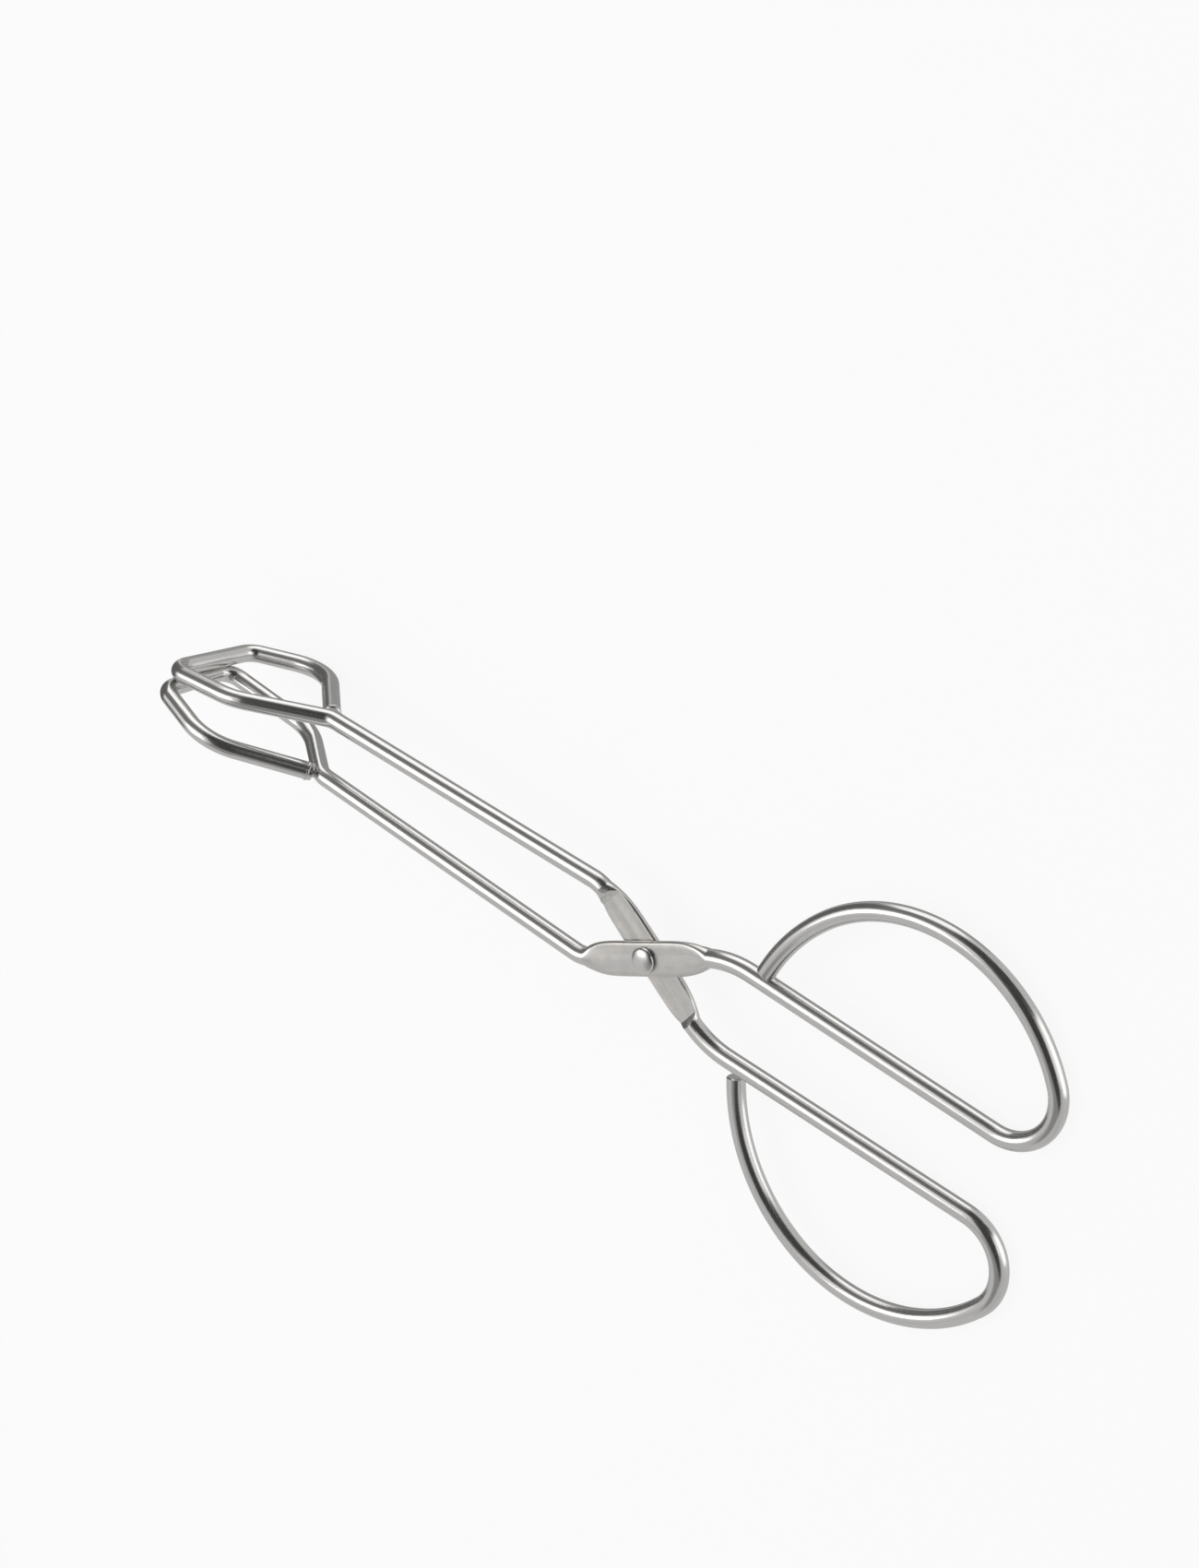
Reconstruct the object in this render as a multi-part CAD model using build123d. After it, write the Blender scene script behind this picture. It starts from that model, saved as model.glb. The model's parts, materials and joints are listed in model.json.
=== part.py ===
from build123d import *
from collections import namedtuple
import copy
import math
import os

os.makedirs("parts", exist_ok=True)

# Scissor tongs of bent round wire, in mm. Each half is one wire that forms a jaw loop, an arm, a flat
# pressed at the crossing and a finger bow. The lower half is the same bent part turned over on the upper
# one, but each jaw loop has its own sides.
#
# Drawing frame of a half: the rivet axis is Z, X runs along the tongs towards the finger bows, and the jaw
# lies on the +Y side. The finished tongs are then laid on a table, with Z up.

# Wire
wire_d = 4.5

# Jaw loop: a six-sided loop that leans in towards the other jaw. One side runs on from the arm, and the other
# comes back to the root and is welded there. Lengths along the jaw start at the root.
arm_length = 106.5         # rivet axis to the root, along the tongs
root_offset = 8.0          # arm's centre line off the middle of the tongs, at the root
jaw_length = 42.4          # root to the cross bar's welded corner
bar_skew = 1.3             # the cross bar's other corner lies this much further out
weld_wide_length = 22.0    # root to the widest corner of the welded side
jaw_gap = 0.35             # space between the two cross bars when the tongs are shut
jaw_twist = 2.8            # angle of both cross bars to the rivet axis
wide_bend_radius = 15.0
tip_bend_radius = 4.6
root_bend_radius = 6.5

# Corners of the upper jaw's loop, off the line that runs through its root
upper_run_wide_length = 21.2
upper_run_wide_side = 11.5
upper_run_tip_side = 12.9
upper_weld_tip_side = 14.2
upper_weld_wide_side = 21.8

# The same corners of the lower jaw's loop
lower_run_wide_length = 15.0
lower_run_wide_side = 10.9
lower_run_tip_side = 8.1
lower_weld_tip_side = 15.0
lower_weld_wide_side = 19.7

# Crossing: both wires cross the rivet at the same slope
cross_angle = 30.0
front_bend_reach = 17.7    # rivet axis to the bend into the arm
back_bend_reach = 20.4     # rivet axis to the bend into the handle
front_bend_radius = 10.0
back_bend_radius = 25.0

# Flat pressed in the wire at the crossing, as wide as the wire's own metal makes it
flat_width = 8.7
flat_thick = 1.8
flat_gap = 0.1             # running space between the two flats
flat_shoulder = 14.5       # rivet axis to the place where the flat starts to narrow
flat_step = 17.0           # rivet axis to the step up to the full wire, along the crossing line
flat_end = 19.5            # rivet axis to the place where the flat is as narrow as the wire
flat_corner_radius = 5.0
flat_rim_radius = 0.8

# Finger bow: a straight, a tight bend, a wide crown, and a closing curve back to the straight
bow_reach = 95.5           # rivet axis to the far end of the straight
bow_offset = 11.0          # the straight's centre line off the middle of the tongs, at that end
bow_depth = 37.0           # straight to the far side of the crown, centre line to centre line
bow_turn_radius = 12.1
bow_crown_radius = 40.5
bow_crown_angle = 112.0
bow_close_reach = 31.0     # rivet axis to the closed end of the bow
bow_close_bite = 2.4       # centre line of the closed end, off the straight's centre line
bow_close_lift = 1.5       # the closed end lies this far to the flat's side of the straight

# Rivet
shank_d = 4.0
shank_clearance = 0.05     # radial
head_d = 6.4
head_height = 1.7
head_rim = 0.5             # straight edge under the dome
tail_d = 6.0
tail_height = 1.1
tail_rim = 0.4
head_clearance = 0.05      # under the head, so that the halves turn

# Welds
jaw_close_gap = 1.2        # root to the cut end of the jaw's welded side
jaw_bead_d = 5.8
jaw_bead_reach = 4.0       # root to the middle of the bead, along the welded side
bow_bead_d = 3.4

wire_r = wire_d / 2
flat_floor = flat_gap / 2 + flat_thick      # outer face of a flat, off the plane where the halves meet
overrun = wire_d                            # how far a cutting block runs past what it cuts
path_samples = 400

Jaw = namedtuple("Jaw", "run_wide_length run_wide_side run_tip_side weld_tip_side weld_wide_side")
upper_jaw = Jaw(
    upper_run_wide_length, upper_run_wide_side, upper_run_tip_side, upper_weld_tip_side, upper_weld_wide_side)
lower_jaw = Jaw(
    lower_run_wide_length, lower_run_wide_side, lower_run_tip_side, lower_weld_tip_side, lower_weld_wide_side)


def crossing_point(reach):
    """Point of the crossing line at a reach along X, negative on the jaw side."""
    return Vector(reach, -reach * math.tan(math.radians(cross_angle)), 0)


def jaw_point(length, side):
    """Point of the leaning, slightly twisted jaw, by length from its root and side along the rivet axis."""
    tip_offset = (wire_d + jaw_gap) / 2
    tip_share = length / jaw_length
    lean = (tip_offset - root_offset) * tip_share
    twist = side * tip_share * math.tan(math.radians(jaw_twist))
    return Vector(-arm_length - length, root_offset + lean + twist, side)


def welded_side(jaw):
    """The jaw side that comes back to the root: its middle, its cut end, and its direction from the root."""
    root = jaw_point(0, 0)
    corner = jaw_point(weld_wide_length, -jaw.weld_wide_side)
    back = (corner - root).normalized()
    return (root + corner) * 0.5, root + back * jaw_close_gap, back


def lead_line(jaw):
    """Centre line from the middle of the welded side, round the jaw and along to the finger bow."""
    corners = [
        welded_side(jaw)[0],
        jaw_point(weld_wide_length, -jaw.weld_wide_side),
        jaw_point(jaw_length, -jaw.weld_tip_side),
        jaw_point(jaw_length + bar_skew, jaw.run_tip_side),
        jaw_point(jaw.run_wide_length, jaw.run_wide_side),
        jaw_point(0, 0),
        crossing_point(-front_bend_reach),
        crossing_point(back_bend_reach),
        Vector(bow_reach, -bow_offset, 0),
    ]
    radii = [wide_bend_radius, tip_bend_radius, tip_bend_radius, wide_bend_radius]
    radii += [root_bend_radius, front_bend_radius, back_bend_radius]
    return FilletPolyline(*corners, radius=radii)


def bow_lines(start, heading):
    """The finger bow's three curves, each tangent to the last, back to the straight."""
    spread = (bow_depth - bow_turn_radius - bow_crown_radius) / (bow_crown_radius - bow_turn_radius)
    turn = JernArc(start, heading, bow_turn_radius, -math.degrees(math.acos(spread)))
    crown = JernArc(turn @ 1, turn % 1, bow_crown_radius, -bow_crown_angle)
    inward = heading.rotate(Axis.Z, -90)
    along = (start.X - bow_close_reach) / heading.X
    target = start - heading * along + inward * bow_close_bite
    forward = crown % 1
    sideways = forward.rotate(Axis.Z, -90)
    chord = target - crown @ 1
    bend = 2 * math.atan2(chord.dot(sideways), chord.dot(forward))
    radius = chord.length / (2 * math.sin(bend / 2))
    closing = JernArc(crown @ 1, forward, radius, -math.degrees(bend))
    roll = math.degrees(math.asin(bow_close_lift / chord.dot(sideways)))
    return [turn, crown, closing.rotate(Axis(crown @ 1, forward), roll)]


def centre_line(jaw):
    """The whole wire as one path, from the middle of the jaw's welded side to the bow's closed end."""
    lead = lead_line(jaw)
    return Wire([*lead.edges(), *bow_lines(lead @ 1, lead % 1)])


def rod(path):
    """Round wire along a path."""
    return sweep(Plane(origin=path @ 0, z_dir=path % 0) * Circle(wire_r), path=path)


def crossing_frame():
    """X along the crossing line towards the handle, Z along the rivet."""
    along = crossing_point(1).normalized()
    return Plane(origin=(0, 0, 0), x_dir=along, z_dir=(0, 0, 1))


def flat_blade():
    """The flat itself, below the plane where the halves meet."""
    half = flat_width / 2
    outline = Polyline(
        (-flat_end, wire_r), (-flat_shoulder, half), (flat_shoulder, half), (flat_end, wire_r),
        (flat_end, -wire_r), (flat_shoulder, -half), (-flat_shoulder, -half), (-flat_end, -wire_r),
        close=True)
    face = make_face(outline)
    shoulders = [corner for corner in face.vertices() if abs(corner.X) < flat_end]
    blade = Pos(0, 0, -flat_gap / 2) * extrude(fillet(shoulders, flat_corner_radius), -flat_thick)
    floor = blade.faces().sort_by(Axis.Z)[0]
    rim = [edge for edge in floor.edges() if abs(edge.center().Y) > wire_r / 2]
    return crossing_frame() * fillet(rim, flat_rim_radius)


def press_tools():
    """What the press takes from the round wire: all above the meeting plane, and the belly below the flat."""
    half = flat_width / 2 + overrun
    above = Pos(0, 0, -flat_gap / 2) * Box(
        2 * flat_step, 2 * half, overrun, align=(Align.CENTER, Align.CENTER, Align.MIN))
    belly = Plane.XZ * make_face(Polyline(
        (-flat_shoulder, -flat_floor), (flat_shoulder, -flat_floor), (flat_end, -wire_r),
        (flat_end, -overrun), (-flat_end, -overrun), (-flat_end, -wire_r), close=True))
    return crossing_frame() * above, crossing_frame() * extrude(belly, half, both=True)


def half_wire(jaw):
    """One half, jaw on +Y and finger bow on -Y, its flat on the far side of the meeting plane."""
    path = centre_line(jaw)
    middle, cut_end, back = welded_side(jaw)
    welded_end = rod(Line(middle, cut_end))
    above, belly = press_tools()
    hole = Cylinder(shank_d / 2 + shank_clearance, 2 * flat_floor + overrun)
    return rod(path) + welded_end - above - belly + flat_blade() - hole


def jaw_bead(jaw, half):
    """Weld metal round the place where the jaw's welded side meets the root."""
    centre = jaw_point(0, 0) + welded_side(jaw)[2] * jaw_bead_reach
    return Pos(*centre) * Sphere(jaw_bead_d / 2) - copy.deepcopy(half)


def bow_bead(jaw):
    """Weld metal in the inner corner between the bow's closed end and its straight."""
    lead = lead_line(jaw)
    closing = bow_lines(lead @ 1, lead % 1)[-1]
    straight = Line(crossing_point(back_bend_reach), lead @ 1)
    back = -(closing % 1)
    corner = math.radians((straight % 1).get_angle(back))
    axes_meet = closing @ 1 - back * (bow_close_bite / math.sin(corner))
    middle = (straight % 1 + back).normalized()
    ball = Pos(*(axes_meet + middle * (wire_r / math.sin(corner / 2)))) * Sphere(bow_bead_d / 2)
    return ball - rod(straight) - rod(closing)


def cap_arc(radius, rim_height, height):
    """Top of a domed head, from its middle to its rim, for a profile in X and Y."""
    rise = height - rim_height
    ball = (radius ** 2 + rise ** 2) / (2 * rise)
    return JernArc((0, height), (1, 0), ball, -math.degrees(math.asin(radius / ball)))


def rivet():
    """Solid rivet: domed head on the near side, shank through both flats, and formed tail on the far side."""
    seat = flat_floor + head_clearance
    head_r, shank_r, tail_r = head_d / 2, shank_d / 2, tail_d / 2
    head = Pos(0, seat) * cap_arc(head_r, head_rim, head_height)
    tail = Pos(0, -flat_floor) * mirror(cap_arc(tail_r, tail_rim, tail_height), Plane.XZ)
    side = Polyline(
        head @ 1, (head_r, seat), (shank_r, seat), (shank_r, -flat_floor), (tail_r, -flat_floor), tail @ 1)
    middle = Line(tail @ 0, head @ 0)
    profile = Plane.XZ * make_face([*head.edges(), *side.edges(), *tail.edges(), middle])
    return revolve(profile, Axis.Z)


def table_tilt():
    """Turn about Y that lays the lowest jaw corner and the two bows on one table, in degrees."""
    tilt = 0
    for jaw, side in ((upper_jaw, 1), (lower_jaw, -1)):
        path = centre_line(jaw)
        points = [path @ (step / path_samples) for step in range(path_samples + 1)]
        end = max(point.X for point in points)
        slopes = [math.atan2(-side * point.Z, end - point.X) for point in points if point.X < 0]
        tilt = max(tilt, math.degrees(max(slopes)))
    return tilt


def tongs():
    """All pieces in the drawing frame, by name. Each jaw's own finger bow lies on the other side."""
    pieces = {"pivot_rivet": rivet()}
    halves = ((upper_jaw, "upper", "lower", 0), (lower_jaw, "lower", "upper", 180))
    for jaw, jaw_side, bow_side, turn in halves:
        half = half_wire(jaw)
        pieces[f"{jaw_side}_jaw_half"] = half.rotate(Axis.X, turn)
        pieces[f"{jaw_side}_jaw_weld"] = jaw_bead(jaw, half).rotate(Axis.X, turn)
        pieces[f"{bow_side}_bow_weld"] = bow_bead(jaw).rotate(Axis.X, turn)
    return pieces


def table_place(pieces):
    """Lays the tongs on Z = 0, on the lowest jaw corner and both bows, centred on the origin."""
    tilt = Rot(0, table_tilt(), 0)
    boxes = [(tilt * piece).bounding_box() for piece in pieces.values()]
    low = Vector(*(min(getattr(box.min, axis) for box in boxes) for axis in "XYZ"))
    high = Vector(*(max(getattr(box.max, axis) for box in boxes) for axis in "XYZ"))
    return Pos(-(low.X + high.X) / 2, -(low.Y + high.Y) / 2, -low.Z) * tilt


parts = tongs()
place = table_place(parts)
for node, solid in parts.items():
    export_step(place * solid, f"parts/{node}.step")
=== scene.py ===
import json
import math
import bpy
import numpy as np
from mathutils import Matrix, Vector, noise


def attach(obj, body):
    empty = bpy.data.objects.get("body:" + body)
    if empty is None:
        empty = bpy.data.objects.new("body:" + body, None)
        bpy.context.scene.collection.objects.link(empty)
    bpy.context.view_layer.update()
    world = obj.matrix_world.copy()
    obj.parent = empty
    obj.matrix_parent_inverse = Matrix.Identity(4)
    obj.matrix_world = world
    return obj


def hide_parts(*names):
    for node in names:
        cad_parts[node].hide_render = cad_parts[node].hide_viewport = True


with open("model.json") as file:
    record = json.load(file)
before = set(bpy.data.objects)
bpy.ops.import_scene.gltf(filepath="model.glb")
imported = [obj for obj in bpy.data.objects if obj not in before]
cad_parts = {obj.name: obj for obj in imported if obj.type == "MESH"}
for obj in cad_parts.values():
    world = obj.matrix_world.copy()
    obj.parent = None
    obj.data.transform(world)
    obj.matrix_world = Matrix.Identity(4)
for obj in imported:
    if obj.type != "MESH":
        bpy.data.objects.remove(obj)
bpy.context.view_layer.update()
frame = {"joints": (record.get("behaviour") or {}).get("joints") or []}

# Sizes are in millimetres, in the rivet's frame: its axis is Z, X runs towards the finger bows, and the upper
# jaw lies on +Y. The frame's joint says where the rivet is and how far the tongs lean on the table.
MM = 0.001

# Wire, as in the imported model, but for the upper jaw's run and the bows' arcs, which are fitted to the photo
wire_d = 4.5
arm_length = 106.5
root_offset = 8.0
jaw_length = 42.4
bar_skew = 1.3
weld_wide_length = 22.0
jaw_gap = 0.35
jaw_twist = 2.8
wide_bend_radius = 15.0
tip_bend_radius = 4.6
root_bend_radius = 6.5
jaw_close_gap = 2.2
jaw_sides = {
    "upper": {"run_length": 22.5, "run_wide": 12.2, "run_tip": 12.3, "weld_tip": 14.2, "weld_wide": 21.8},
    "lower": {"run_length": 15.0, "run_wide": 10.9, "run_tip": 8.1, "weld_tip": 15.0, "weld_wide": 19.7},
}
bow_arcs = {    # by the half that each bow is on, angles in degrees
    "upper": {"depth": 36.7, "radius": 40.0, "angle": 78.0, "close_reach": 29.8, "close_bite": 3.95,
              "close_lift": 1.5},
    "lower": {"depth": 36.75, "radius": 40.45, "angle": 104.8, "close_reach": 30.8, "close_bite": 2.2,
              "close_lift": 0.2},
}
cross_angle = 30.0
front_bend_reach = 17.7
back_bend_reach = 20.4
front_bend_radius = 10.0
back_bend_radius = 25.0
bow_reach = 95.5
bow_offset = 11.0
bow_turn_radius = 12.1

# Pressed flat at the crossing
flat_half_width = 4.25
flat_thick = 1.8
flat_gap = 0.1             # running space between the two flats
flat_shoulder = 5.0        # where the flat starts to narrow, along the wire from the rivet
flat_taper_end = 18.2      # where it is as narrow as the wire
flat_taper_late = 1.2      # how much further the end towards the jaws runs
flat_taper_power = 3.5     # how long the outline stays wide
flat_taper_close = 1.15    # how bluntly it closes
flat_step = 16.4           # where the pressed face starts to rise to the full wire
flat_step_end = 18.4
flat_rise_straight = 0.6   # share of that rise that is straight, while the rest curves up
flat_bulge = 0.55          # how far the sides bulge beyond the faces
flat_side_share = 0.66     # share of the ring's points that go to the sides
flat_crown = 0.12          # share of half the depth by which the outer face falls towards its edges
flat_fall = 0.24           # share of the depth by which the outer face falls towards its two ends
cut_chamfer = 0.3          # of the wires' two cut ends

# Rivet
shank_r = 2.0
head_r = 3.2
head_height = 1.7
head_rim = 0.5
tail_r = 3.0
tail_height = 1.1
tail_rim = 0.4
tail_tuck = 0.35           # how far the tail's underside is drawn in under its rim
head_clearance = 0.05
head_tuck = 0.6            # the same for the head
head_rim_turns = (0.25, 0.5, 0.8, 1.1, 1.35)    # places along the rim's quarter round, in radians
dome_fullness = 0.9

# Welds: where each bead sits, its half axes, and the seed of its lumps
lump_height = 0.10         # share of the bead's size by which its lumps rise
lump_scale = 1.7           # lumps across a bead
jaw_bead = {"along": 3.5, "inward": 0.0, "halves": (1.1, 2.42, 2.42), "seed": 1.3}
jaw_fill = {"along": 2.3, "inward": 1.2, "halves": (1.9, 1.6, 1.9), "seed": 4.7}
bow_bead = {"outward": 1.9, "halves": (1.6, 0.9, 1.1), "seed": 2.2}

# Mesh steps
ring_points = 56
route_step = 0.12          # spacing of the route's points, before rings are placed on it
ring_angle = 2.6           # degrees of bend between rings
ring_step_max = 1.0
ring_step_flat = 0.25
ring_flat_margin = 1.0     # how far beyond the flat that finer step goes on
ring_edge_point = 7        # the ring's point that sits on the edge of the pressed face
ring_edge_highest = 84.0   # degrees round the wire that it may reach, where the face runs out
ring_edge_ease = 3.0       # length of wire in which the points are evenly spaced again
ring_edge_trials = 721     # points round half the wire among which the edge is sought
rivet_points = 64
dome_steps = 18
lump_points = 28
sharp_from = 28.0          # degrees between two faces from which their edge is sharp
never_sharp = 180.0

# Steel. Each noise is a scale per metre and a detail, and each range is of its values
mark_stretch = 0.02                # the marks' scale along the wire, as a share of that across it
streak_noise = (2600.0, 5.0)       # fine lines drawn along the wire
band_noise = (1400.0, 2.0)         # softer bands on the flats
scuff_noise = (260.0, 5.0)
stain_noise = (420.0, 4.0)
wave_noise = (120.0, 1.0)
stain_range = (0.35, 0.7)          # from clean to fully stained
wire_stain = 0.25                  # share of the flats' stain that the round wire has
line_range = (0.5, 0.72)           # from plain to the darkest line
line_depth = 0.35                  # how far that line goes towards the dark colour
line_dark = 0.72                   # that colour, as a share of the steel's
flat_line_range = (0.4, 0.62)      # the same for the bands on the flats
flat_line_depth = 0.4
rough_range = (0.3, 0.7)           # over which the roughness goes through the shares below
line_rough = (0.75, 1.35)
scuff_rough = (0.88, 1.12)
band_rough_range = (0.38, 0.62)
band_rough = (1.2, 0.8)
grain_height = 0.00002             # metres
wave_height = 0.0001               # metres
wave_strength = 0.5

wire_r = wire_d / 2
contact_z = -flat_gap / 2
flat_floor = flat_gap / 2 + flat_thick

joint = frame["joints"][0]
pivot = Vector(joint["pos_m"])
lean = math.atan2(joint["axis"][0], joint["axis"][2])
table_place = Matrix.Translation(pivot) @ Matrix.Rotation(lean, 4, "Y") @ Matrix.Scale(MM, 4)


def unit(vector):
    return vector / np.linalg.norm(vector)


def smooth_share(value, start, end):
    """0 before start, 1 after end, and a smooth curve between."""
    share = np.clip((value - start) / (end - start), 0.0, 1.0)
    return share * share * (3.0 - 2.0 * share)


# Routes

def line_points(start, end):
    """Points from start up to, not including, end."""
    count = max(1, int(np.linalg.norm(end - start) / route_step))
    shares = np.arange(count)[:, None] / count
    return start + (end - start) * shares


def arc_points(start, heading, inward, radius, angle):
    """Points of an arc that leaves start along heading and bends inward, with its end and end heading."""
    count = max(2, int(radius * angle / route_step))
    angles = np.arange(count + 1)[:, None] * angle / count
    points = start + radius * (np.sin(angles) * heading + (1 - np.cos(angles)) * inward)
    end_heading = math.cos(angle) * heading + math.sin(angle) * inward
    return points[:-1], points[-1], end_heading


def rounded_route(corners, radii):
    """Points along straight runs joined by arcs, from the first corner up to, not including, the last."""
    corners = [np.array(corner, float) for corner in corners]
    points = []
    start = corners[0]
    for before, corner, after, radius in zip(corners, corners[1:], corners[2:], radii):
        heading, next_heading = unit(corner - before), unit(after - corner)
        angle = math.acos(np.clip(heading @ next_heading, -1, 1))
        cut = radius * math.tan(angle / 2)
        arc_start = corner - heading * cut
        inward = unit(next_heading - heading * (heading @ next_heading))
        points.append(line_points(start, arc_start))
        arc, start, _ = arc_points(arc_start, heading, inward, radius, angle)
        points.append(arc)
    points.append(line_points(start, corners[-1]))
    return np.vstack(points)


def jaw_point(length, side):
    """Point of the leaning, twisted jaw, from a length off its root and a place along the rivet's axis."""
    tip_offset = (wire_d + jaw_gap) / 2
    tip_share = length / jaw_length
    lean_in = (tip_offset - root_offset) * tip_share
    twist = side * tip_share * math.tan(math.radians(jaw_twist))
    return np.array([-arm_length - length, root_offset + lean_in + twist, side])


def crossing_point(reach):
    return np.array([reach, -reach * math.tan(math.radians(cross_angle)), 0.0])


def half_route(half):
    """Points along one half's wire, from the jaw's welded end to the bow's closed end."""
    sides = jaw_sides[half]
    root = jaw_point(0, 0)
    weld_corner = jaw_point(weld_wide_length, -sides["weld_wide"])
    bow_start = np.array([bow_reach, -bow_offset, 0.0])
    corners = [
        root + unit(weld_corner - root) * jaw_close_gap,
        weld_corner,
        jaw_point(jaw_length, -sides["weld_tip"]),
        jaw_point(jaw_length + bar_skew, sides["run_tip"]),
        jaw_point(sides["run_length"], sides["run_wide"]),
        root,
        crossing_point(-front_bend_reach),
        crossing_point(back_bend_reach),
        bow_start,
    ]
    radii = [wide_bend_radius, tip_bend_radius, tip_bend_radius, wide_bend_radius,
             root_bend_radius, front_bend_radius, back_bend_radius]
    lead = rounded_route(corners, radii)
    return np.vstack([lead, bow_points(bow_start, unit(bow_start - corners[-2]), **bow_arcs[half])])


def bow_points(start, heading, depth, radius, angle, close_reach, close_bite, close_lift):
    """The finger bow's three arcs, each tangent to the last, back to the straight."""
    axis = np.array([0.0, 0.0, 1.0])
    inward = np.cross(heading, axis)
    spread = (depth - bow_turn_radius - radius) / (radius - bow_turn_radius)
    turn, turn_end, forward = arc_points(start, heading, inward, bow_turn_radius, math.acos(spread))
    sideways = np.cross(forward, axis)
    crown, crown_end, forward = arc_points(turn_end, forward, sideways, radius, math.radians(angle))
    target = start - heading * ((start[0] - close_reach) / heading[0]) + inward * close_bite
    sideways = np.cross(forward, axis)
    chord = target - crown_end
    bend = 2 * math.atan2(chord @ sideways, chord @ forward)
    roll = math.asin(close_lift / (chord @ sideways))
    lifted = math.cos(roll) * sideways + math.sin(roll) * np.cross(forward, sideways)
    closing, end, _ = arc_points(
        crown_end, forward, lifted, np.linalg.norm(chord) / (2 * math.sin(bend / 2)), bend)
    return np.vstack([turn, crown, closing, end[None]])


def stations(route, along, rivet_at):
    """Places along the route for the rings: closer together in tight bends and at the flat."""
    headings = np.gradient(route, along, axis=0)
    bends = np.linalg.norm(np.gradient(headings, along, axis=0), axis=1)
    step = np.clip(math.radians(ring_angle) / np.maximum(bends, 1e-6), route_step, ring_step_max)
    from_rivet = np.abs(along - rivet_at)
    near_flat = from_rivet < flat_taper_end + flat_taper_late + ring_flat_margin
    step[near_flat] = np.minimum(step[near_flat], ring_step_flat)
    count = np.concatenate([[0], np.cumsum(np.diff(along) * 2 / (step[1:] + step[:-1]))])
    places = np.interp(np.arange(int(count[-1]) + 1) * count[-1] / int(count[-1]), count, along)
    creases = [rivet_at + side * reach for side in (-1, 1) for reach in (flat_step, flat_step_end)]
    ends = [cut_chamfer, along[-1] - cut_chamfer]
    fixed = creases + ends
    kept = [place for place in places if min(abs(place - other) for other in fixed) > route_step / 2]
    return np.array(sorted(kept + fixed))


def carried_frames(headings, start, up):
    """Up and side directions carried along the headings without twist, both ways from a start ring."""
    ups = np.zeros_like(headings)
    ups[start] = up
    for first, last, step in ((start, len(headings) - 1, 1), (start, 0, -1)):
        for ring in range(first, last, step):
            moved = ups[ring] - headings[ring + step] * (ups[ring] @ headings[ring + step])
            ups[ring + step] = unit(moved)
    return ups, np.cross(ups, headings)


# Sections

def pressed_outline(turn, half_depth):
    """Side and up offsets of the fully flat section's right half: a bulging side between two faces."""
    reach = math.radians(flat_side_share * 90)
    roll = np.clip(turn / reach, -1, 1) * math.pi / 2
    face_share = np.clip((np.abs(turn) - reach) / (math.pi / 2 - reach), 0, 1)
    face_half = flat_half_width - flat_bulge
    side = np.where(face_share > 0, face_half * (1 - face_share), face_half + flat_bulge * np.cos(roll))
    thinned = np.where(turn < 0, 1 - flat_crown * (side / flat_half_width) ** 2, 1)
    return side, contact_z - half_depth + half_depth * np.sin(roll) * thinned


def section(turn, pressed, half_depth):
    """Side and up offsets of the right half of the wire's section, between round and fully flat."""
    flat_side, flat_up = pressed_outline(turn, half_depth)
    return ((1 - pressed) * wire_r * np.cos(turn) + pressed * flat_side,
            (1 - pressed) * wire_r * np.sin(turn) + pressed * flat_up)


def ring_sections(from_rivet):
    """Ring points as side and up offsets, for each ring's distance from the rivet along the wire."""
    distance = np.abs(from_rivet)[:, None]
    late = np.where(from_rivet < 0, flat_taper_late, 0)[:, None] * np.minimum(distance / flat_shoulder, 1)
    share = np.clip((distance - late - flat_shoulder) / (flat_taper_end - flat_shoulder), 0, 1)
    pressed = (1 - share ** flat_taper_power) ** flat_taper_close
    half_depth = (flat_floor + contact_z) / 2 * (1 - flat_fall * np.minimum(distance / flat_step, 1) ** 2)
    rise_run = flat_step_end - flat_step
    run = np.clip(distance - flat_step, 0, rise_run) / rise_run
    rise = flat_rise_straight * run + (1 - flat_rise_straight) * run ** 2
    ceiling = contact_z + (wire_r - contact_z) * rise

    # One ring point each side sits right on the edge of the pressed face, so that the edge is clean
    even = ring_edge_point * 2 * math.pi / ring_points
    highest = math.radians(ring_edge_highest)
    trial = np.linspace(-math.pi / 2, math.pi / 2, ring_edge_trials)[None, :]
    reached = section(trial, pressed, half_depth)[1] >= ceiling - 1e-6
    edge = np.where(reached.any(axis=1), trial[0, reached.argmax(axis=1)], highest)[:, None]
    easing = smooth_share(distance, flat_step_end, flat_step_end + ring_edge_ease)
    edge = np.where(distance >= flat_step_end, highest + (even - highest) * easing, np.minimum(edge, highest))
    ceiling = np.where(distance >= flat_step_end, wire_r, ceiling)

    turn = np.arange(ring_points)[None, :] * 2 * math.pi / ring_points
    turn = (turn + math.pi / 2) % (2 * math.pi) - math.pi / 2
    right = turn <= math.pi / 2
    half_turn = np.where(right, turn, math.pi - turn)
    below = (half_turn + math.pi / 2) * (edge + math.pi / 2) / (even + math.pi / 2) - math.pi / 2
    above = edge + (half_turn - even) * (math.pi / 2 - edge) / (math.pi / 2 - even)
    half_turn = np.where(half_turn <= even + 1e-9, below, above)
    side, up = section(half_turn, pressed, half_depth)
    angles = np.where(right, half_turn, math.pi - half_turn)
    return np.where(right, side, -side), np.minimum(up, ceiling), pressed[:, 0], angles


# Meshes

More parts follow.
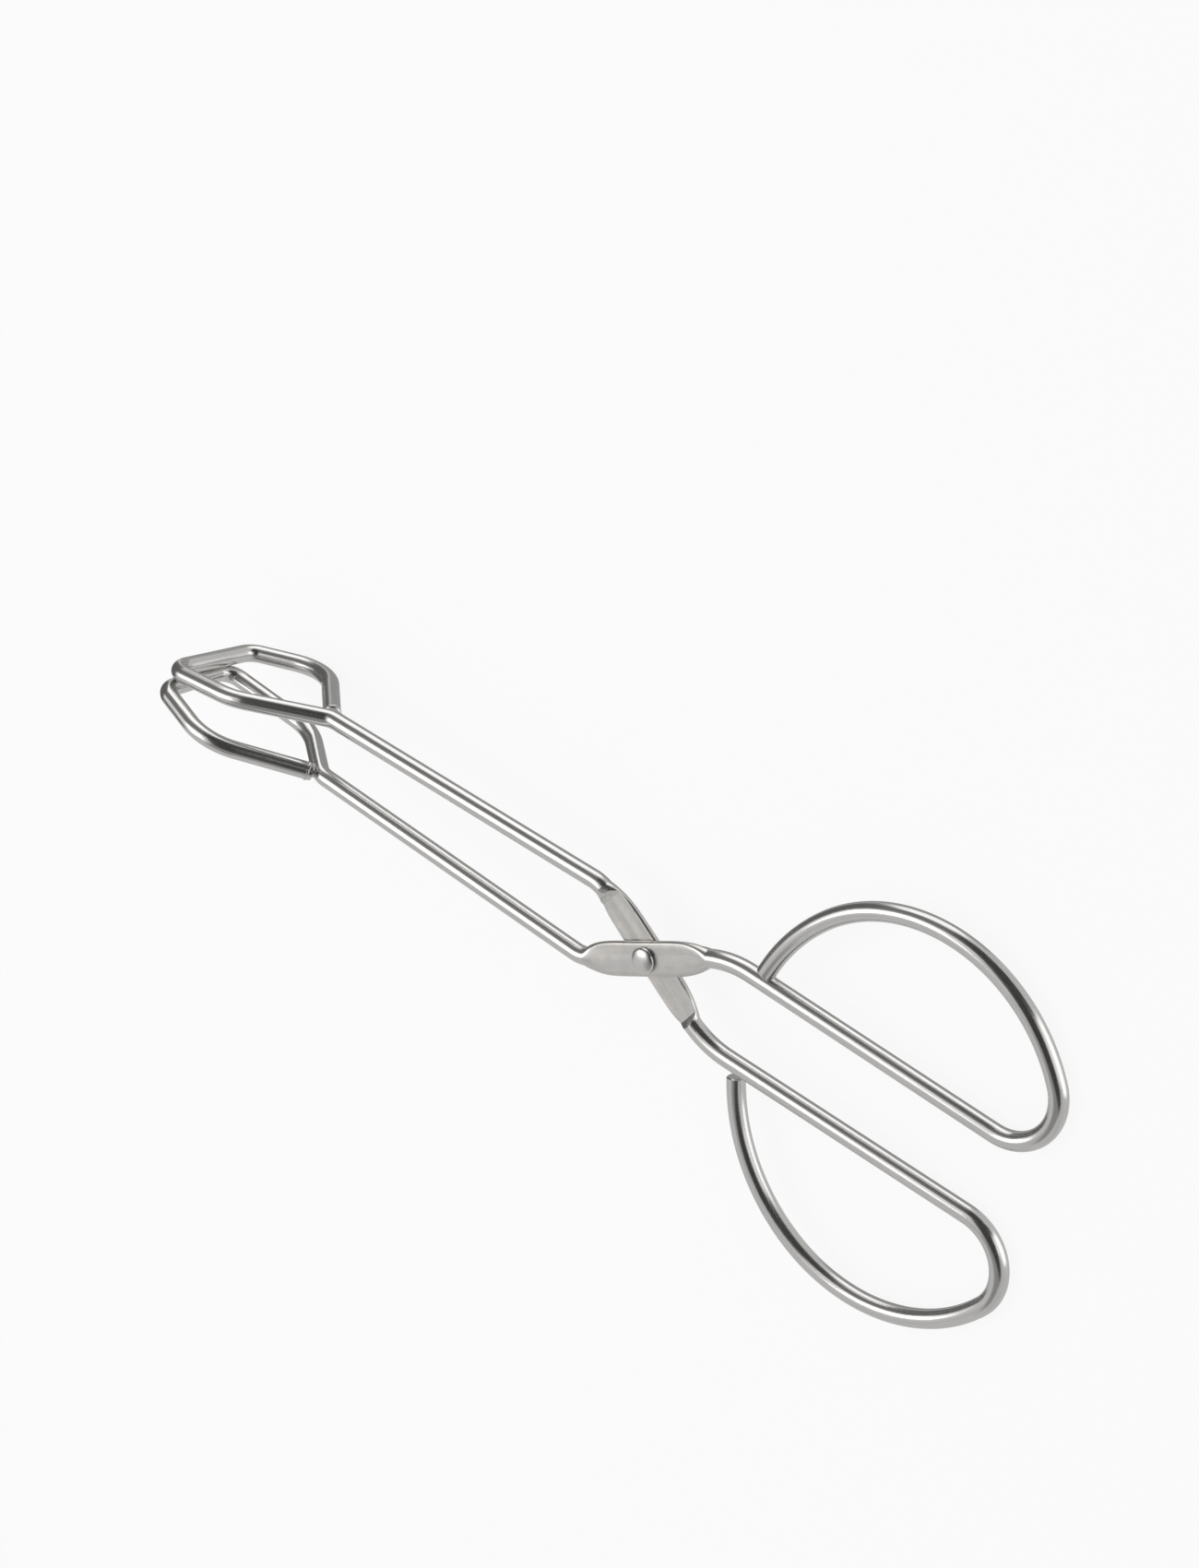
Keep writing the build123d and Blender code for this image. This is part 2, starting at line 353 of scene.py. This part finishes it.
def make_piece(name, vertices, faces, material, body, nodes, sharp_angle=sharp_from):
    """A mesh piece on the table, from points in the rivet's frame."""
    mesh = bpy.data.meshes.new(name)
    mesh.from_pydata([table_place @ Vector(vertex) for vertex in vertices], [], faces)
    mesh.validate()
    for polygon in mesh.polygons:
        polygon.use_smooth = True
    mesh.set_sharp_from_angle(angle=math.radians(sharp_angle))
    mesh.materials.append(material)
    piece = bpy.data.objects.new(name, mesh)
    bpy.context.scene.collection.objects.link(piece)
    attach(piece, body)
    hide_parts(*nodes)
    return piece


def grid_faces(rings, points):
    """Faces between neighbouring rings of one tube."""
    faces = []
    for ring in range(rings - 1):
        for point in range(points):
            following = (point + 1) % points
            a, b = ring * points + point, ring * points + following
            faces.append((a, b, b + points, a + points))
    return faces


def wire_half(name, side_name, turned, material, body):
    """One half's wire: a tube along its route, with the pressed flat and two cut ends."""
    route = half_route(side_name)
    along = np.concatenate([[0], np.cumsum(np.linalg.norm(np.diff(route, axis=0), axis=1))])
    rivet_at = along[np.argmin(np.linalg.norm(route, axis=1))]
    places = stations(route, along, rivet_at)
    centres = np.column_stack([np.interp(places, along, route[:, axis]) for axis in range(3)])
    headings = np.gradient(centres, places, axis=0)
    headings /= np.linalg.norm(headings, axis=1)[:, None]
    at_rivet = int(np.argmin(np.abs(places - rivet_at)))
    ups, sides = carried_frames(headings, at_rivet, np.array([0.0, 0.0, 1.0]))
    side, up, pressed, angles = ring_sections(places - rivet_at)
    for ring in (0, -1):
        side[ring] *= 1 - cut_chamfer / wire_r
        up[ring] *= 1 - cut_chamfer / wire_r
    vertices = centres[:, None, :] + side[:, :, None] * sides[:, None, :] + up[:, :, None] * ups[:, None, :]
    drawn = np.stack(np.broadcast_arrays(
        wire_r * np.cos(angles), wire_r * np.sin(angles), places[:, None]), axis=-1)
    rings = len(places)
    vertices = vertices.reshape(-1, 3)
    if turned:
        vertices = vertices * [1, -1, -1]
    faces = grid_faces(rings, ring_points)
    faces.append(tuple(range(ring_points)))
    faces.append(tuple(reversed(range((rings - 1) * ring_points, rings * ring_points))))
    faces = [tuple(reversed(face)) for face in faces]
    piece = make_piece(name, vertices.tolist(), faces, material, body, [name])
    add_attribute(piece, "drawn_wire", "FLOAT_VECTOR", drawn.reshape(-1, 3) * MM)
    add_attribute(piece, "pressed", "FLOAT", np.repeat(pressed, ring_points))


def add_attribute(piece, name, kind, values):
    layer = piece.data.attributes.new(name, kind, "POINT")
    key = "vector" if kind == "FLOAT_VECTOR" else "value"
    layer.data.foreach_set(key, np.asarray(values, dtype=np.float32).ravel())


def turned_piece(name, profile, points, material, body):
    """A round piece on the rivet's axis, closed at both ends, from a profile of radius and height."""
    vertices = [(0, 0, profile[0][1])]
    for radius, height in profile[1:-1]:
        for point in range(points):
            angle = 2 * math.pi * point / points
            vertices.append((radius * math.cos(angle), radius * math.sin(angle), height))
    vertices.append((0, 0, profile[-1][1]))
    rings = len(profile) - 2
    faces = [tuple(1 + index for index in face) for face in grid_faces(rings, points)]
    last = len(vertices) - 1
    for point in range(points):
        following = (point + 1) % points
        faces.append((0, 1 + following, 1 + point))
        faces.append((last, last - points + point, last - points + following))
    faces = [tuple(reversed(face)) for face in faces]
    piece = make_piece(name, vertices, faces, material, body, [name])
    turned_marks = [(math.hypot(x, y) * MM, z * MM, 0) for x, y, z in vertices]
    add_attribute(piece, "drawn_wire", "FLOAT_VECTOR", turned_marks)


def dome_profile(radius, rim, height):
    """Radius and height pairs of a full dome from its rim to its middle."""
    turns = [math.pi / 2 * step / dome_steps for step in range(dome_steps + 1)]
    return [(radius * math.cos(turn), rim + (height - rim) * math.sin(turn) ** dome_fullness)
            for turn in turns]


def rivet_profile():
    """Radius and height pairs from the middle of the rivet's tail, along its outside, to that of its head."""
    seat = flat_floor + head_clearance
    tail = [(radius, -flat_floor - height) for radius, height in dome_profile(tail_r, tail_rim, tail_height)]
    shank = [(tail_r - tail_tuck, -flat_floor), (shank_r, -flat_floor), (shank_r, seat),
             (head_r - head_tuck, seat)]
    rim = [(head_r - head_tuck * (1 - math.sin(turn)), seat + head_rim * (1 - math.cos(turn)))
           for turn in head_rim_turns]
    dome = [(radius, seat + height) for radius, height in dome_profile(head_r, head_rim, head_height)]
    return tail[::-1] + shank + rim + dome


def lump(centre, axes, seed):
    """Vertices and faces of one lumpy bead, from its centre and its three half axes."""
    vertices = [centre + axes[2]]
    rings = lump_points // 2
    for ring in range(1, rings):
        down = math.pi * ring / rings
        for point in range(lump_points):
            turn = 2 * math.pi * point / lump_points
            way = Vector((math.sin(down) * math.cos(turn), math.sin(down) * math.sin(turn), math.cos(down)))
            grown = 1 + lump_height * noise.noise(way * lump_scale + Vector((seed, seed, seed)))
            vertices.append(centre + grown * (way.x * axes[0] + way.y * axes[1] + way.z * axes[2]))
    vertices.append(centre - axes[2])
    faces = [tuple(1 + index for index in reversed(face)) for face in grid_faces(rings - 1, lump_points)]
    last = len(vertices) - 1
    for point in range(lump_points):
        following = (point + 1) % lump_points
        faces.append((0, 1 + point, 1 + following))
        faces.append((last, last - lump_points + following, last - lump_points + point))
    return vertices, faces


def weld_piece(name, lumps, turned, material, body):
    """A weld of a few lumps, each (centre, three half axes, seed)."""
    vertices, faces = [], []
    for centre, axes, seed in lumps:
        more_vertices, more_faces = lump(centre, axes, seed)
        faces += [tuple(len(vertices) + index for index in face) for face in more_faces]
        vertices += [vertex * [1, -1, -1] if turned else vertex for vertex in more_vertices]
    piece = make_piece(name, vertices, faces, material, body, [name], never_sharp)
    add_attribute(piece, "drawn_wire", "FLOAT_VECTOR", [vertex * MM for vertex in vertices])


def square_axes(along, across, sizes):
    """Three half axes: along, across made square to it, and square to both."""
    along = unit(along)
    across = unit(across - along * (across @ along))
    return [along * sizes[0], across * sizes[1], np.cross(along, across) * sizes[2]]


def jaw_weld(side_name, turned, material, body):
    """Bead round the welded side's cut end, and one that fills its inner corner with the arm."""
    root = jaw_point(0, 0)
    back = unit(jaw_point(weld_wide_length, -jaw_sides[side_name]["weld_wide"]) - root)
    inner = unit(np.array([-1.0, 0.0, 0.0]) - back * -back[0])
    lumps = [(root + back * bead["along"] + inner * bead["inward"], square_axes(back, inner, bead["halves"]),
              bead["seed"]) for bead in (jaw_bead, jaw_fill)]
    weld_piece(f"{side_name}_jaw_weld", lumps, turned, material, body)


def bow_weld(side_name, half_name, turned, material, body):
    """Bead in the corner between the bow's closed end and the straight, on the side away from the head.

    A bow is named by the side it lies on, and a half by its jaw's.
    """
    route = half_route(half_name)
    end = route[-1]
    bow_start = np.array([bow_reach, -bow_offset, 0.0])
    straight = unit(bow_start - crossing_point(back_bend_reach))
    foot = bow_start + straight * ((end - bow_start) @ straight)
    corner = np.cross(straight, unit(end - foot))
    corner *= math.copysign(1, corner[2]) * (1 if turned else -1)
    centre = (end + foot) / 2 + corner * bow_bead["outward"]
    lumps = [(centre, square_axes(straight, corner, bow_bead["halves"]), bow_bead["seed"])]
    weld_piece(f"{side_name}_bow_weld", lumps, turned, material, body)


# Materials

def node_adder(tree):
    """Empties a node tree, and returns a function that adds nodes to it."""
    tree.nodes.clear()

    def new(kind, inputs=(), **settings):
        """A node with its settings, and its inputs set or linked by name or number."""
        node = tree.nodes.new(kind)
        for key, value in settings.items():
            setattr(node, key, value)
        for key, value in dict(inputs).items():
            if isinstance(value, bpy.types.NodeSocket):
                tree.links.new(value, node.inputs[key])
            else:
                node.inputs[key].default_value = value
        return node

    return new


def new_material(name):
    material = bpy.data.materials.new(name)
    material.use_nodes = True
    return material, node_adder(material.node_tree)


def steel(name, colour, tint, roughness, pressed_roughness, grain):
    """Polished steel with marks drawn along the wire, duller and faintly stained where it is pressed flat."""
    material, new = new_material(name)

    def cloud(vector, scale, detail):
        return new("ShaderNodeTexNoise", {"Vector": vector, "Scale": scale, "Detail": detail}).outputs["Fac"]

    def remap(value, low, high, to_low, to_high):
        return new("ShaderNodeMapRange", {0: value, 1: low, 2: high, 3: to_low, 4: to_high}).outputs[0]

    drawn = new("ShaderNodeAttribute", attribute_name="drawn_wire").outputs["Vector"]
    pressed = new("ShaderNodeAttribute", attribute_name="pressed").outputs["Fac"]
    place = new("ShaderNodeTexCoord").outputs["Object"]
    stretched = new("ShaderNodeMapping", {"Vector": drawn, "Scale": (1, 1, mark_stretch)}).outputs[0]
    streaks = cloud(stretched, *streak_noise)
    bands = cloud(stretched, *band_noise)
    scuffs = cloud(place, *scuff_noise)
    stains = cloud(place, *stain_noise)
    waves = cloud(place, *wave_noise)

    stain = remap(stains, *stain_range, 0, 1)
    stained = new("ShaderNodeMath", {0: stain, 1: remap(pressed, 0, 1, wire_stain, 1)},
                  operation="MULTIPLY").outputs[0]
    stained_mix = new("ShaderNodeMix", {0: stained, 6: (*colour, 1), 7: (*tint, 1)}, data_type="RGBA")
    flat_lines = remap(bands, *flat_line_range, 0, flat_line_depth)
    wire_lines = remap(streaks, *line_range, 0, line_depth)
    lines = new("ShaderNodeMix", {0: pressed, 2: wire_lines, 3: flat_lines}, data_type="FLOAT").outputs[0]
    colour_mix = new("ShaderNodeMix", {0: lines, 6: stained_mix.outputs[2],
                                       7: (*[part * line_dark for part in colour], 1)}, data_type="RGBA")
    rough_wire = remap(streaks, *rough_range, *[roughness * share for share in line_rough])
    rough_band = remap(bands, *band_rough_range, *[pressed_roughness * share for share in band_rough])
    rough_flat = new("ShaderNodeMath", {0: remap(scuffs, *rough_range, *scuff_rough), 1: rough_band},
                     operation="MULTIPLY").outputs[0]
    rough = new("ShaderNodeMix", {0: pressed, 2: rough_wire, 3: rough_flat}, data_type="FLOAT").outputs[0]

    fine = new("ShaderNodeBump", {"Height": streaks, "Strength": grain, "Distance": grain_height})
    broad = new("ShaderNodeBump", {"Height": waves, "Strength": wave_strength, "Distance": wave_height,
                                   "Normal": fine.outputs[0]})
    shader = new("ShaderNodeBsdfPrincipled", {"Base Color": colour_mix.outputs[2], "Roughness": rough,
                                              "Metallic": 1.0, "Normal": broad.outputs[0]})
    new("ShaderNodeOutputMaterial", {"Surface": shader.outputs[0]})
    return material


# Stage

def build_world(fill):
    """Even world: white to the camera and in reflections, and at the fill's strength on matt surfaces."""
    world = bpy.data.worlds.new("studio_world")
    bpy.context.scene.world = world
    world.use_nodes = True
    new = node_adder(world.node_tree)
    path = new("ShaderNodeLightPath")
    direct = path.outputs["Is Camera Ray"]
    for ray in ("Is Glossy Ray", "Is Transmission Ray"):
        direct = new("ShaderNodeMath", {0: direct, 1: path.outputs[ray]}, operation="MAXIMUM").outputs[0]
    seen = new("ShaderNodeBackground", {"Strength": 1.0, "Color": (1, 1, 1, 1)})
    lit = new("ShaderNodeBackground", {"Strength": fill, "Color": (1, 1, 1, 1)})
    mix = new("ShaderNodeMixShader", {0: direct, 1: lit.outputs[0], 2: seen.outputs[0]})
    new("ShaderNodeOutputWorld", {"Surface": mix.outputs[0]})


def flat_board(name, half_width, half_height, material):
    """A rectangle that faces +Z."""
    corners = [(-half_width, -half_height, 0), (half_width, -half_height, 0),
               (half_width, half_height, 0), (-half_width, half_height, 0)]
    mesh = bpy.data.meshes.new(name)
    mesh.from_pydata(corners, [], [(0, 1, 2, 3)])
    mesh.materials.append(material)
    board = bpy.data.objects.new(name, mesh)
    bpy.context.scene.collection.objects.link(board)
    return board


def build_floor(size, colour, glow):
    """Pale floor that looks white to the camera and keeps a faint shadow.

    The metal doesn't reflect it, but the cards under it.
    """
    material, new = new_material("floor_pale")
    matt = new("ShaderNodeBsdfDiffuse", {"Color": (*colour, 1)})
    seen = new("ShaderNodeEmission", {"Color": (1, 1, 1, 1), "Strength": 1.0})
    camera = new("ShaderNodeLightPath").outputs["Is Camera Ray"]
    white = new("ShaderNodeMath", {0: camera, 1: glow}, operation="MULTIPLY").outputs[0]
    mixed = new("ShaderNodeMixShader", {0: white, 1: matt.outputs[0], 2: seen.outputs[0]})
    new("ShaderNodeOutputMaterial", {"Surface": mixed.outputs[0]})
    floor = flat_board("floor", size / 2, size / 2, material)
    floor.visible_glossy = False


def direction(azimuth, elevation):
    azimuth, elevation = math.radians(azimuth), math.radians(elevation)
    return Vector((math.cos(elevation) * math.cos(azimuth), math.cos(elevation) * math.sin(azimuth),
                   math.sin(elevation)))


def facing_place(azimuth, elevation, distance, roll):
    """Matrix of something at a distance from the tongs that faces them, its X level before the roll."""
    away = direction(azimuth, elevation)
    turn = away.to_track_quat("Z", "Y").to_matrix().to_4x4()
    return Matrix.Translation(away * distance) @ turn @ Matrix.Rotation(math.radians(roll), 4, "Z")


def spread(distance, degrees):
    """Width of something that takes up an angle at a distance."""
    return 2 * distance * math.tan(math.radians(degrees / 2))


def softbox(name, azimuth, elevation, distance, across, upright, radiance, roll):
    """Area lamp that faces the tongs and takes up the given angles, in degrees."""
    width, height = spread(distance, across), spread(distance, upright)
    lamp = bpy.data.lights.new(name, "AREA")
    lamp.shape = "RECTANGLE"
    lamp.size, lamp.size_y = width, height
    lamp.energy = radiance * math.pi * width * height
    holder = bpy.data.objects.new(name, lamp)
    bpy.context.scene.collection.objects.link(holder)
    holder.matrix_world = facing_place(azimuth, elevation, distance, roll)
    holder.visible_camera = False


def card(name, azimuth, elevation, distance, across, upright, brightness, roll):
    """Plain card that only the metal's reflections see, and that takes up the given angles, in degrees."""
    material, new = new_material(name)
    glow = new("ShaderNodeEmission", {"Color": (brightness, brightness, brightness, 1), "Strength": 1.0})
    new("ShaderNodeOutputMaterial", {"Surface": glow.outputs[0]})
    material.cycles.emission_sampling = "NONE"
    board = flat_board(name, spread(distance, across) / 2, spread(distance, upright) / 2, material)
    board.matrix_world = facing_place(azimuth, elevation, distance, roll)
    board.visible_camera = False
    board.visible_diffuse = False
    board.visible_transmission = False
    board.visible_shadow = False


def build_camera():
    """Camera at the photograph's view, placed in the rivet's frame."""
    camera_at = Vector((341.131, 389.677, 539.239))
    aim_at = Vector((-25.107, 33.272, 0.0))
    roll = math.radians(-111.318)
    focal_pixels = 3522.03
    frame_height, sensor_height = 1700, 36.0
    near_clip, far_clip = 0.01, 50    # metres
    forward = (aim_at - camera_at).normalized()
    level_right = forward.cross(Vector((0, 0, 1))).normalized()
    level_up = level_right.cross(forward)
    right = math.cos(roll) * level_right + math.sin(roll) * level_up
    up = right.cross(forward)
    turn = Matrix.Rotation(lean, 4, "Y")
    axes = [turn @ right, turn @ up, turn @ -forward]
    place = Matrix([[*row] for row in zip(*axes)]).to_4x4()
    place.translation = table_place @ camera_at
    camera = bpy.data.cameras.new("photo_camera")
    camera.sensor_width = sensor_height
    camera.lens = focal_pixels / frame_height * sensor_height
    camera.clip_start, camera.clip_end = near_clip, far_clip
    holder = bpy.data.objects.new("photo_camera", camera)
    bpy.context.scene.collection.objects.link(holder)
    holder.matrix_world = place
    bpy.context.scene.camera = holder


wire_material = steel("wire_steel_polished", colour=(0.68, 0.675, 0.665), tint=(0.79, 0.752, 0.69),
                      roughness=0.2, pressed_roughness=0.36, grain=0.1)
rivet_material = steel("rivet_steel_polished", colour=(0.72, 0.715, 0.705), tint=(0.70, 0.69, 0.67),
                       roughness=0.27, pressed_roughness=0.27, grain=0.0)
weld_material = steel("weld_steel_bright", colour=(0.66, 0.65, 0.63), tint=(0.55, 0.52, 0.48),
                      roughness=0.28, pressed_roughness=0.28, grain=0.0)

wire_half("upper_jaw_half", "upper", False, wire_material, "upper_jaw_side")
wire_half("lower_jaw_half", "lower", True, wire_material, "lower_jaw_side")
jaw_weld("upper", False, weld_material, "upper_jaw_side")
jaw_weld("lower", True, weld_material, "lower_jaw_side")
bow_weld("lower", "upper", False, weld_material, "upper_jaw_side")
bow_weld("upper", "lower", True, weld_material, "lower_jaw_side")
turned_piece("pivot_rivet", rivet_profile(), rivet_points, rivet_material, "upper_jaw_side")

build_world(fill=0.75)
build_floor(size=30.0, colour=(0.78, 0.78, 0.78), glow=0.88)
softbox("back_softbox", azimuth=179, elevation=64, distance=0.85, across=26, upright=31, radiance=1.9,
        roll=22)
cards = [    # name, azimuth, elevation, distance in metres, degrees across and upright, brightness, roll
    ("front_card", 28, -22, 0.95, 43, 43, 1.5, 0),
    ("right_card", 122, -13, 0.95, 40, 32, 1.5, 28),
    ("dark_front", 13, 56, 1.15, 93, 57, 0.05, 0),
    ("dark_left", 320, 58, 1.2, 58, 46, 0.3, 0),
    ("dark_side", 77, 26, 1.1, 57, 68, 0.06, 0),
    ("dim_side", 112, 35, 1.2, 84, 42, 0.2, 0),
    ("dim_back", 178, 5, 1.15, 76, 56, 0.14, 0),
    ("dim_below", 168, -52, 1.15, 70, 44, 0.36, 0),
    ("grey_left", 258, 22, 1.3, 100, 78, 0.62, 0),
    ("grey_front", 335, 14, 1.35, 85, 50, 0.58, 0),
    ("grey_top", 105, 100, 1.4, 58, 60, 0.67, 0),
    ("grey_below", 0, -90, 1.6, 160, 160, 0.62, 0),
]
for row in cards:
    card(*row)
build_camera()

bpy.context.scene.view_settings.view_transform = "Standard"
